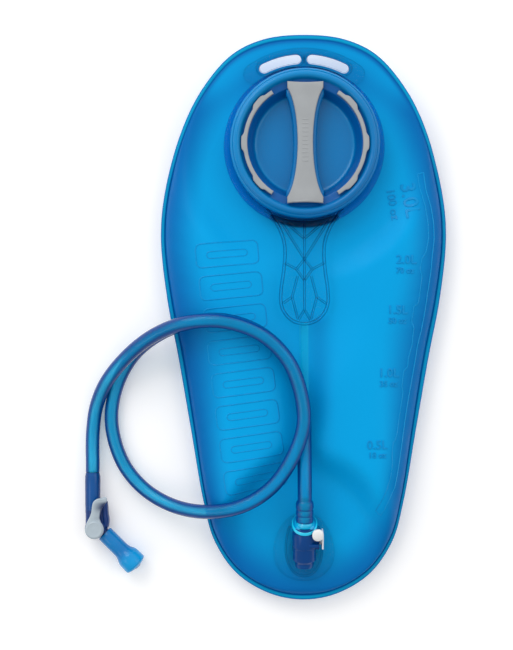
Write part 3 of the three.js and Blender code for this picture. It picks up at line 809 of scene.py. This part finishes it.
SCALE_FIGURES = [  # text, place, size, angle
    ("3.0L", (78, 88), 15.5, -80),
    ("100 oz", (65.5, 85), 8.5, -80),
    ("2.0L", (75, 43.5), 9, 0),
    ("70 oz", (74, 35.5), 6, 0),
    ("1.5L", (68.5, 6.5), 9, 0),
    ("50 oz", (68.5, -1.5), 6, 0),
    ("1.0L", (62, -40), 9, 0),
    ("35 oz", (62, -48), 6, 0),
    ("0.5L", (53.5, -93), 9, 0),
    ("18 oz", (53.5, -100.5), 6, 0),
]


def make_embossing():
    """The volume scale at the right, a plain ladder of panels at the left and the baffle's weld line."""
    strip = resampled([*STRIP_INNER, *STRIP_OUTER[::-1]], 320, closed=True)
    strip = ridge_on_film(strip, 0.45, 0.32, closed=True)
    add_object("volume_strip", [strip], EMBOSS, "root")
    figures = [draped(lettering(*row)) for row in SCALE_FIGURES]
    add_object("volume_figures", figures, EMBOSS, "root")
    panels = []
    for t in np.linspace(0, 1, 8):
        centre, angle = (lerp(-57, -36, t), lerp(48, -118, t)), lerp(5, 9, t)
        line = resampled(rounded_box(46, 17.5, 4, centre, angle, 5), 90, closed=True)
        panels.append(ridge_on_film(line, 0.5, 0.26, closed=True))
        line = resampled(rounded_box(30, 5, 2.4, centre, angle, 4), 50, closed=True)
        panels.append(ridge_on_film(line, 0.4, 0.2, closed=True))
    add_object("ladder_panels", panels, EMBOSS, "root")
    weld = np.column_stack([np.full(46, 0.3), np.linspace(-2, -92, 46)])
    parts = [ridge_on_film(weld, 2.9, 0.42, sides=12), ridge_on_film(weld - (3.6, 0), 0.35, 0.3)]
    add_object("baffle_weld", parts, BAFFLE, "root")


make_embossing()

# ---- Fill collar: neck, hang tab and clear handle ----

COLLAR_BOTTOM = 26.3
HANDLE_Z = 32.5
THREAD_PITCH = 24


def thread_rib(start, sweep, low, inner, outer):
    """A rib of trapezoid section that climbs the neck; angles in degrees."""
    steps = 28
    points = []
    for k in range(steps + 1):
        angle = math.radians(start + sweep * k / steps)
        height = low + THREAD_PITCH * math.radians(sweep) * k / steps / TAU
        grow = min(1, 4 * k / steps, 4 * (steps - k) / steps)
        out = lerp(inner + 0.2, outer, grow)
        for r, z in ((inner, 0), (out, 0.5), (out, 1.5), (inner, 2)):
            points.append((r * math.cos(angle), r * math.sin(angle), height + z))
    faces = grid_faces(steps + 1, 4) + [[3, 2, 1, 0], [4 * steps + i for i in range(4)]]
    return shifted((points, faces), *FILL)


def make_neck():
    b = COLLAR_BOTTOM
    profile = [
        (43.5, b - 2.8), (NECK_R, b - 2.8), (NECK_R, b), (59.5, b), (59.5, b + 2),
        (56.6, b + 2), (56.2, b + 1.6), (NECK_R, b + 1.6), (NECK_R, 42), (43.5, 42),
    ]  # fmt: skip
    ring = shifted(lathe(rounded(profile, 0.7), 160, closed=True), *FILL)
    ribs = [thread_rib(90 * k, 80, 31.2, 47.2, 49.6) for k in range(4)]
    add_object("fill_neck", [ring, *ribs], CLEAR_DEEP, "root", ["fill_collar"])


HANDLE_HALF = [
    (29, 81), (24, 73.5), (19.5, 66), (16.2, 57), (15.4, 48), (16.3, 36), (18.2, 22), (18.4, 12),
    (15.6, 4), (9, -2.4),
]  # fmt: skip
HANDLE_RIBS = [
    ((0, 70), (0, 28.2)),
    ((0, 59), (12.8, 70)),
    ((0, 44), (17.2, 71.4)),
    ((0, 44), (5.8, 36.6)),
    ((5.8, 36.6), (0, 28.2)),
    ((5.8, 36.6), (14.6, 41.2)),
    ((5.0, 31.5), (9.1, 16.1)),
    ((9.1, 16.1), (4.9, 0.2)),
    ((9.1, 16.1), (15.6, 11.5)),
    ((0, 28.2), (0, 6.9)),
    ((0, 6.9), (4.4, -0.8)),
]


def handle_outline(inset):
    """Outline of the handle, up to its root under the cap's edge."""
    loop = catmull([*HANDLE_HALF, (0, -4.7), *((-x, y) for x, y in HANDLE_HALF[::-1])], steps=10)
    along = np.roll(loop, -1, 0) - np.roll(loop, 1, 0)
    along /= np.linalg.norm(along, axis=1)[:, None]
    loop = loop + np.column_stack([along[:, 1], -along[:, 0]]) * inset
    return [tuple(p) for p in loop if np.hypot(p[0], p[1] - FILL[1]) > 55.6]


def make_handle():
    web = plate([handle_outline(0.4)], HANDLE_Z, HANDLE_Z + 1.4, 0.3)
    add_object("handle_web", [web], CLEAR, "root")
    line = at_height(resampled(handle_outline(1.1), 220), HANDLE_Z)
    add_object("handle_rim", [tube(line, 1.35, 3, section=RIB)], CLEAR, "root")
    ribs = []
    for start, end in HANDLE_RIBS:
        for side in (-1, 1) if start[0] or end[0] else (1,):
            line = np.linspace((side * start[0], start[1]), (side * end[0], end[1]), 6)
            ribs.append(tube(at_height(line, HANDLE_Z + 0.3), 0.95, 2.4, section=RIB))
    add_object("handle_ribs", ribs, CLEAR, "root")
    root = plate([arc_band(55.7, 60.4, -114, -66, ends=3)], COLLAR_BOTTOM, HANDLE_Z + 1.4, 0.5)
    add_object("handle_root", [root], CLEAR, "root")


def make_hang_tab():
    b = COLLAR_BOTTOM
    tab = plate([arc_band(58, 73, 55, 125), slot_band(-1, 0), slot_band(1, 0)], b, b + 1.6, 0.35)
    add_object("hang_tab", [tab], CLEAR, "root")
    rims = []
    for side in (-1, 1):
        for margin, size in ((0.75, 0.7), (2.6, 0.5)):
            line = at_height(resampled(slot_band(side, margin), 120, closed=True), b + 1.2)
            rims.append(tube(line, size, 1.1, closed=True, section=RIB))
    add_object("slot_rims", rims, CLEAR, "root")


make_neck()
make_handle()
make_hang_tab()

# ---- Cap ----


def bar_outline(half, waist, end):
    """Outline of the cap's bar: waisted sides and slightly hollow ends."""
    shoulder, belly, hollow = half - 4.5, half * 0.55, 0.7
    side_curve = ((end, shoulder), (waist, belly), (waist, -belly), (end, -shoulder))
    loop = []
    for side in (1, -1):
        for t in np.linspace(1, -1, 7):
            loop.append((side * end * t, side * (half - hollow * (1 - t**2))))
        for k in range(19):
            x, y = bezier(side_curve, k / 18)
            loop.append((-side * x, side * y))
    return np.array(loop) + FILL


def make_cap():
    profile = [
        (0, 33), (38.4, 33), (39.6, 33.4), (40.5, 34.5), (40.5, 44.2), (51.2, 44.2), (51.2, 29.2),
        (51.5, 29), (54.2, 29), (54.5, 29.3), (54.5, 45.8), (54.35, 46.8), (53.9, 47.8), (53.2, 48.5),
        (52.75, 48.65), (52.5, 48.45), (52.25, 48.7), (51.8, 49.4), (51.0, 50.0), (50.0, 50.35),
        (49.0, 50.2), (48.1, 49.6), (47.4, 48.5), (46.9, 47.3), (46.4, 46.7), (45.8, 46.45),
        (41.9, 46.4), (41.3, 46.1), (40.9, 45.4), (38.2, 39.2), (37.2, 37.4), (36.0, 36.5),
        (34.4, 36.15), (32.5, 36.1), (20, 36.35), (8, 36.5), (0, 36.5),
    ]  # fmt: skip
    parts = [shifted(lathe(profile, 180), *FILL)]
    cap = add_object("cap_shell", parts, CAP, "cap", ["cap_lid"], sharp=50)
    x, y, z = corners_of(cap).T
    radius = from_fill(x, y)
    # Painted light and shade: paler well floors with a painted highlight along their edge, a paler rim,
    # painted shade on the well walls and on the ledge, and painted light on the ring's upper-left side that
    # turns to shade on its lower right.
    floor = (1 - smooth(radius, 34.6, 36.4)) * smooth(z, 35, 35.8)
    painted_edge_highlight = np.exp(-(((radius - 36.2) / 0.8) ** 2)) * smooth(z, 35, 35.8) * 0.5
    rim = smooth(radius, 46.5, 48) * smooth(z, 46, 48)
    wall = smooth(radius, 36.6, 37.6) * (1 - smooth(radius, 45.9, 46.8)) * smooth(z, 36, 37)
    painted_ledge_shade = smooth(radius, 41.2, 42) * (1 - smooth(radius, 46, 47.6)) * smooth(z, 46, 46.3)
    ring = smooth(radius, 44, 48) * 0.3 * np.cos(np.arctan2(y - FILL[1], x - FILL[0]) - math.radians(128))
    paint(cap, "second_colour_and_painted_shading", 0.5 + 0.25 * floor + painted_edge_highlight + 0.3 * rim - 0.5 * wall - 0.3 * painted_ledge_shade + ring)
    spine = plate([bar_outline(39.5, 6.6, 14)], 35, 46.6, 2.4)
    seat = plate([bar_outline(43.2, 1.9, 11.8)], 45.2, 47.5, 0.5)
    piece = add_object("cap_spine", [spine, seat], CAP, "cap")
    # Painted shade: the spine's sides are darker down towards the wells.
    paint(piece, "second_colour_and_painted_shading", 0.1 + 0.45 * smooth(corners_of(piece)[:, 2], 43.8, 46.2))
    lugs = [thread_rib(90 * k + 8, 40, 29.4, 51.4, 49.0) for k in range(4)]
    piece = add_object("cap_lugs", lugs, CAP, "cap")
    paint(piece, "second_colour_and_painted_shading", np.full(len(piece.data.vertices), 0.5))


def make_grips():
    def crowned(points):
        across = (points[:, 0] - FILL[0]) / 13
        lift = 0.45 * np.clip(1 - across**2, 0, 1) * (points[:, 2] > 50)
        return points + np.column_stack([0 * lift, 0 * lift, lift])

    bar = moved(plate([bar_outline(44, 3, 13)], 47.3, 51.2, 0.9), crowned)
    add_object("cap_bar_grip", [bar], GRIP, "cap", ["cap_grip_bar"])
    ribs = []
    for k in range(-5, 6):
        line = at_height(np.linspace((-3.2, 0), (3.2, 0), 5) + FILL + (0, 1.5 + 3 * k), 51.5)
        ribs.append(tube(line, 0.55, 0.35, 8, taper=0.8))
    add_object("cap_bar_ribs", ribs, GRIP, "cap")
    for side, name in ((0, "right"), (180, "left")):
        angles = np.linspace(-57, 57, 61)
        bumps = sum(smooth(angles, c - 9, c - 5) * (1 - smooth(angles, c + 5, c + 9)) for c in (-41, 0, 41))
        reach = np.concatenate([44.9 + 1.5 * bumps, np.full(61, 42)])
        turn = np.radians(side + np.concatenate([angles, angles[::-1]]))
        loop = FILL + np.column_stack([reach * np.cos(turn), reach * np.sin(turn)])
        grip = plate([loop], 46.6, 49.5, 0.6)
        add_object(f"cap_arc_{name}", [grip], GRIP, "cap", [f"cap_grip_{name}"])


make_cap()
make_grips()

# ---- Exit port ----

PORT_Y, PORT_Z, PORT_TILT = -152, 36, math.radians(10)  # middle of the socket's mouth, and its axis's rise
BUTTON_Y = -12.5  # release button's stem, along the socket's axis


def in_port(points):
    """From the socket's frame, with Y along its axis, to the CAD frame."""
    c, s = math.cos(PORT_TILT), math.sin(PORT_TILT)
    x, y, z = points.T
    return np.column_stack([x, y * c - z * s + PORT_Y, y * s + z * c + PORT_Z])


def across_port(part):
    """A part made about Z, put on the release button's axis."""
    return moved(part, lambda p: in_port(p[:, [2, 0, 1]] + (0, BUTTON_Y, 0)))


def turned_y(profile, segments=48, closed=False):
    """A profile of (radius, place along Y) turned about Y."""
    return moved(lathe(profile, segments, closed), lambda p: p[:, [0, 2, 1]])


def turned_in_port(profile, segments=64):
    return moved(turned_y(profile, segments, closed=True), in_port)


def leaned_in_port(profile, segments=64):
    """The same, with what lies at or beyond the socket's mouth leaned, so that the mouth looks up."""

    def leaned(points):
        x, y, z = points.T
        return in_port(np.column_stack([x, np.where(y > -0.01, y - 0.5 * z, y), z]))

    return moved(turned_y(profile, segments, closed=True), leaned)


def egg(half, low, high):
    """Closed egg shape, wider towards its lower end."""
    middle = lerp(low, high, 0.42)
    lower = ((0, low), (half * 0.62, low), (half, lerp(low, middle, 0.45)), (half, middle))
    upper = ((half, middle), (half, lerp(middle, high, 0.5)), (half * 0.55, high), (0, high))
    right = [tuple(bezier(curve, k / 14)) for curve in (lower, upper) for k in range(14)]
    return [*right, (0, high), *((-x, y) for x, y in right[:0:-1])]


def ring_of(loop, z, wide, high, closed=True):
    return tube(at_height(resampled(loop, 160, closed), z), wide, high, 10, closed)


def box_part(x0, x1, y0, y1, z0, z1, radius=0.8):
    """A block with rounded upright edges."""
    centre = ((x0 + x1) / 2, (y0 + y1) / 2)
    return plate([rounded_box(x1 - x0, y1 - y0, radius, centre)], z0, z1, min(0.5, radius))


def make_flange():
    bottom = 20.3
    oval = plate([egg(22.8, -195, -143.8)], bottom, bottom + 2, 0.6)
    parts = [oval, ring_of(egg(21.6, -193.8, -145), bottom + 2, 0.5, 0.35)]
    add_object("port_oval", parts, CLEAR, "root", ["port_flange"])
    line = [p for p in egg(13.5, -191.1, -143) if p[1] < -153.5]
    cut_at = next(i for i, p in enumerate(line) if p[0] < 0)
    walls = ring_of(line[cut_at:] + line[:cut_at], bottom + 2.9, 0.8, 2.0, closed=False)
    pad = plate([egg(12.6, -190.2, -150)], bottom + 1.8, bottom + 2.3, 0.2)
    add_object("port_cradle", [walls, pad], CLEAR, "root")


def make_socket():
    profile = [
        (6.9, 0), (9.1, 0), (9.1, -2.4), (8.5, -2.9), (8.5, -4.2), (9.0, -4.7), (9.0, -15.5),
        (8.6, -16), (8.6, -25.3), (7.1, -27.2), (6.9, -28.5), (6.4, -31), (0, -31), (0, -29.6),
        (5, -29.6), (5, -13), (2.6, -13), (2.6, -11), (6.9, -11),
    ]  # fmt: skip
    barrel = leaned_in_port(rounded(profile, 0.35, 2))
    band = moved(box_part(2, 10.4, BUTTON_Y - 1.2, BUTTON_Y + 1.2, 5, 8.6, 0.6), in_port)
    foot = box_part(-4.5, 4.5, FLANGE_Y - 8.5, FLANGE_Y + 6.5, 22.9, 29, 1)
    socket = add_object("port_socket", [barrel, band, foot], NAVY, "root", ["port_body"])
    along = corners_of(socket)[:, 1] - PORT_Y
    bands = smooth(along, -7.5, -6.5) * (1 - smooth(along, -9.5, -8.5))
    paint(socket, "second_colour_and_painted_shading", 0.25 + 0.35 * bands + 0.3 * (1 - smooth(along, -30.5, -27)))
    housing = moved(box_part(4.5, 10.8, BUTTON_Y - 4, BUTTON_Y + 4, -4.5, 4.5), in_port)
    housing = add_object("button_housing", [housing], NAVY, "root")
    without(housing, across_port(cylinder(0, 0, 2.1, 8.4, 14, 32)))
    paint(housing, "second_colour_and_painted_shading", np.full(len(housing.data.vertices), 0.25))


def make_button():
    angles = np.linspace(0, math.pi, 17)
    ball = lathe(list(zip(np.sin(angles), -np.cos(angles))), 32)

    def squared(points):
        soft = np.sign(points) * np.abs(points) ** 0.9
        return in_port(soft * (4.2, 4.5, 2.1) + (9.4, -3.5, 9.8))

    arm = moved(box_part(12.5, 13.6, -14.8, -2.5, -2.8, 9.0, 0.5), in_port)
    stem = across_port(cylinder(0, 0, 1.1, 10.7, 12.7, 16))
    parts = [moved(ball, squared), arm, stem]
    add_object("port_button", parts, WHITE, "button", ["release_button"])

    low, high = 9.3, 12.2
    turns = np.linspace(0, 3 * TAU, 90)
    line = np.column_stack([1.6 * np.cos(turns), 1.6 * np.sin(turns), np.linspace(low, high, 90)])
    parts = [across_port(tube(line, 0.22, sides=8))]
    coil = add_object("button_coil", parts, STEEL, None, ["button_spring"])
    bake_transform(coil)


def make_connector():
    profile = [
        (1.2, -10.7), (5.6, -10.7), (6.3, -9.8), (6.3, -8.6), (5.1, -8.6), (5.1, -6.6), (6.3, -6.6),
        (6.3, 2.2), (5.2, 4), (4, 6), (4, 8), (4.9, 8), (4, 12), (4.9, 12), (4, 16), (4.9, 16),
        (4, 18), (2.6, 18), (2.6, -7), (1.2, -7),
    ]  # fmt: skip
    dish = [(5.8, 0.3), (9.3, 0.3), (9.3, 2.5), (8.7, 2.75), (8.2, 2.1), (7.4, 1.9), (6.9, 2.5), (6.3, 2.7)]
    parts = [turned_in_port(rounded(profile, 0.2, 2)), leaned_in_port(rounded(dish, 0.25, 3), 96)]
    plug = add_object("hose_plug", parts, CYAN, "connector", ["hose_connector"])
    x, _, z = corners_of(plug).T
    out = np.hypot(x, z - PORT_Z)
    paint(plug, "second_colour_and_painted_shading", 0.9 * smooth(out, 8.0, 8.8) + 0.5 * smooth(-out, -7.3, -6.6))
    cuff = [
        (4.95, 3.6), (6.1, 3.4), (6.45, 4.6), (6.45, 7.3), (6.05, 8.3), (6.5, 9.4), (6.5, 12.0),
        (6.1, 12.9), (6.65, 14.2), (6.65, 17.0), (6.2, 18.6), (5.3, 19.9), (4.95, 19.9),
    ]  # fmt: skip
    add_object("hose_cuff_port", [turned_in_port(rounded(cuff, 0.5, 3))], HOSE, "connector")


make_flange()
make_socket()
make_button()
make_connector()

# ---- Shut-off valve and bite valve ----

VX, VY = middle_of("valve_plug")[:2]
VZ = 9.3  # height of the hose and the bite valve at the shut-off valve
INLET_X = VX - 2.3
BITE_X, BITE_Y = -147.2, -164.3  # where the bite valve's axis leaves the shut-off valve


def along_bite(points):
    """From a frame with Y along the bite valve's axis to the CAD frame."""
    s = math.sqrt(0.5)
    x, y, z = points.T
    return np.column_stack([BITE_X - x * s + y * s, BITE_Y - x * s - y * s, z + VZ])


def make_valve():
    barrel = [(0, 1.2), (7.6, 1.2), (7.6, 15.2), (4.7, 15.2), (4.7, 14.6), (0, 14.6)]
    barrel = shifted(lathe(rounded(barrel, 0.6, 3, closed=False)), VX, VY)
    inlet = [(0, 0), (5.4, 0), (5.4, 11), (5.6, 12), (5.6, 15), (4.4, 17), (4.4, 24), (4.0, 42), (0, 42)]
    inlet = shifted(turned_y(rounded(inlet, 0.5, 3, closed=False)), INLET_X, VY, VZ)
    guard = np.array([(6.6, -0.4), (7.4, 3), (7.6, 6), (6.9, 11), (6.5, 17), (5.9, 21.4)]) + (VX, VY)
    guard = catmull(at_height(guard, VZ), steps=8)
    shield = tube(guard, 3.0, 5.2, 16, taper=3)
    filler = tube(guard - (2.6, 0, 0), 3.2, 4.6, 16, taper=3)
    outlet = rounded([(0, -9), (4.2, -9), (4.2, 11.5), (3.6, 12), (0, 12)], 0.3, 2, closed=False)
    parts = [barrel, inlet, shield, filler, moved(turned_y(outlet), along_bite)]
    shell = add_object("valve_shell", parts, VALVE, "root", ["valve_body"])
    cuff = [
        (4.9, -1.0), (5.15, -1.2), (5.75, -4), (5.85, -8), (5.8, -16), (5.7, -27), (5.55, -30.5),
        (4.9, -30.8),
    ]  # fmt: skip
    cuff = shifted(turned_y(rounded(cuff, 0.5, 3), closed=True), INLET_X, -114.5, VZ)
    return shell, add_object("hose_cuff_valve", [cuff], HOSE_FILLED, "root")


LEVER_LOOP = [
    (-6.3, 3.2), (-5.3, 6), (-3.6, 9.2), (-2.2, 13), (-1.6, 17.6), (-0.6, 20.8), (1.6, 22.8), (5.2, 23.7),
    (8.2, 24.4), (9.3, 23.4), (9.4, 21.2), (8.2, 19.2), (6.4, 17), (5.0, 13.6), (4.3, 9.6), (4.6, 6),
    (6.2, 3.4), (7.0, 0.6), (6.6, -2.4), (5, -5), (2.6, -6.6), (0, -7.05), (-2.6, -6.6), (-5, -5),
    (-6.6, -2.4), (-7, 0.6),
]  # fmt: skip


def make_lever():
    loop = resampled(catmull(LEVER_LOOP, closed=True, steps=6), 110, closed=True)

    def scooped(points):
        x, y, z = points.T
        roll = 1.5 * smooth(x - 0.12 * y, 0.8, 4.5) * smooth(y, 5, 9)
        return np.column_stack([x, y, z + (z > 18) * (0.9 * smooth(y, 12, 24) - roll)])

    arm = shifted(moved(plate([loop], 16.5, 19.5, 0.9), scooped), VX, VY)
    boss = [(0, 18), (5.9, 18), (6.2, 19.6), (6.0, 20.15), (5.4, 20.4), (5.0, 20.25), (2, 20.5), (0, 20.5)]
    parts = [arm, shifted(lathe(boss), VX, VY)]
    piece = add_object("lever_arm", parts, LEVER, "lever", ["valve_lever"])
    x, y, _ = (corners_of(piece) - (VX, VY, 0)).T
    # Painted shade on the right side of the arm, where it rolls down.
    paint(piece, "second_colour_and_painted_shading", smooth(x - 0.13 * y, 1.9, 3.0) * smooth(y, 6, 9.5) * (1 - smooth(y, 19, 22)))
    return piece


def make_bite():
    profile = [
        (4.5, -3.4), (4.8, -3.7), (5.8, -3.7), (6.1, -3.3), (6.15, 6), (6.15, 13.5), (6.35, 15.4),
        (6.9, 17.2), (7.9, 19.2), (8.5, 20.6), (8.75, 22), (8.85, 25), (8.95, 28.6), (8.75, 29.4),
        (8.2, 30), (6, 31), (3, 31.6), (0.8, 31.75), (0, 31.4), (0, 29.6), (6.4, 29.2), (6.4, 23),
        (4.5, 18),
    ]  # fmt: skip
    parts = [moved(turned_y(profile, 72, closed=True), along_bite)]
    bite = add_object("bite_mouthpiece", parts, BITE, "bite", ["bite_valve"])
    x, y, _ = corners_of(bite).T
    along = (x - BITE_X - y + BITE_Y) * math.sqrt(0.5)
    neck = smooth(along, 2, 8) * (1 - smooth(along, 10, 14))
    paint(bite, "second_colour_and_painted_shading", 0.15 + 0.75 * smooth(along, 15, 24) + 0.2 * neck)
    slit = np.column_stack([np.linspace(-2.6, 2.6, 9), np.full(9, 31.75), np.zeros(9)])
    lips = moved(tube(slit, 0.35, 0.5, 8, taper=1), along_bite)
    return bite, add_object("bite_slit", [lips], VALVE, "bite")


valve_shell, cuff_valve = make_valve()
lever = make_lever()
bite, lip = make_bite()

# ---- CAD nodes that stay ----

KEPT = {
    "center_baffle": BAFFLE,
    "cap_gasket": SILICONE,
    "port_poppet": WHITE,
    "poppet_seal": SILICONE,
    "poppet_spring": STEEL,
    "connector_oring": SILICONE,
    "valve_plug": WHITE,
    "plug_oring_lower": SILICONE,
    "plug_oring_upper": SILICONE,
}
for node, material in KEPT.items():
    for material_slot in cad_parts[node].material_slots:
        material_slot.material = material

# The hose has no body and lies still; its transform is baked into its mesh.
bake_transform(hose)

# ---- Floor, light ----


def make_stage():
    half = 60
    corners = [(-half, -half, 0), (half, -half, 0), (half, half, 0), (-half, half, 0)]
    mesh = bpy.data.meshes.new("floor")
    mesh.from_pydata(corners, [], [(0, 1, 2, 3)])
    shading = new_shading("floor")
    shader = shading.add(
        "BsdfPrincipled",
        Base_Color=(0.95, 0.95, 0.95, 1),
        Emission_Color=(1, 1, 1, 1),
        Emission_Strength=0.16,
        Roughness=0.9,
    )
    mesh.materials.append(shading.finished(shader))
    floor = linked("floor", mesh)
    floor.location.z = -0.0003


def area_light(name, place, size, power):
    """A square lamp that looks at the origin."""
    data = bpy.data.lights.new(name, "AREA")
    data.shape, data.size, data.energy = "SQUARE", size, power
    light = linked(name, data)
    light.location = place
    light.rotation_mode = "QUATERNION"
    light.rotation_quaternion = (-Vector(place)).to_track_quat("-Z", "Y")


def make_light():
    """A white room, brighter behind the object's top, with three soft lamps."""
    room = Shading(bpy.data.worlds.new("studio"))
    scene.world = room.owner
    axes = room.add("SeparateXYZ", Vector=room.add("TexCoord").outputs["Generated"]).outputs
    lean = room.calculated("MULTIPLY_ADD", axes["X"], -0.12, axes["Y"])
    strength = room.ranged(lean, -1, 1, 0.36, 1.22)
    background = room.add("Background", Color=(1, 1, 1, 1), Strength=strength)
    room.add("OutputWorld", Surface=background.outputs[0])
    area_light("key", (-0.6, 0.85, 0.95), 0.8, 5)
    area_light("fill", (0.95, 0.1, 1.0), 0.8, 1.5)
    area_light("rim", (-0.9, -0.5, 0.9), 0.5, 1)


make_stage()
make_light()
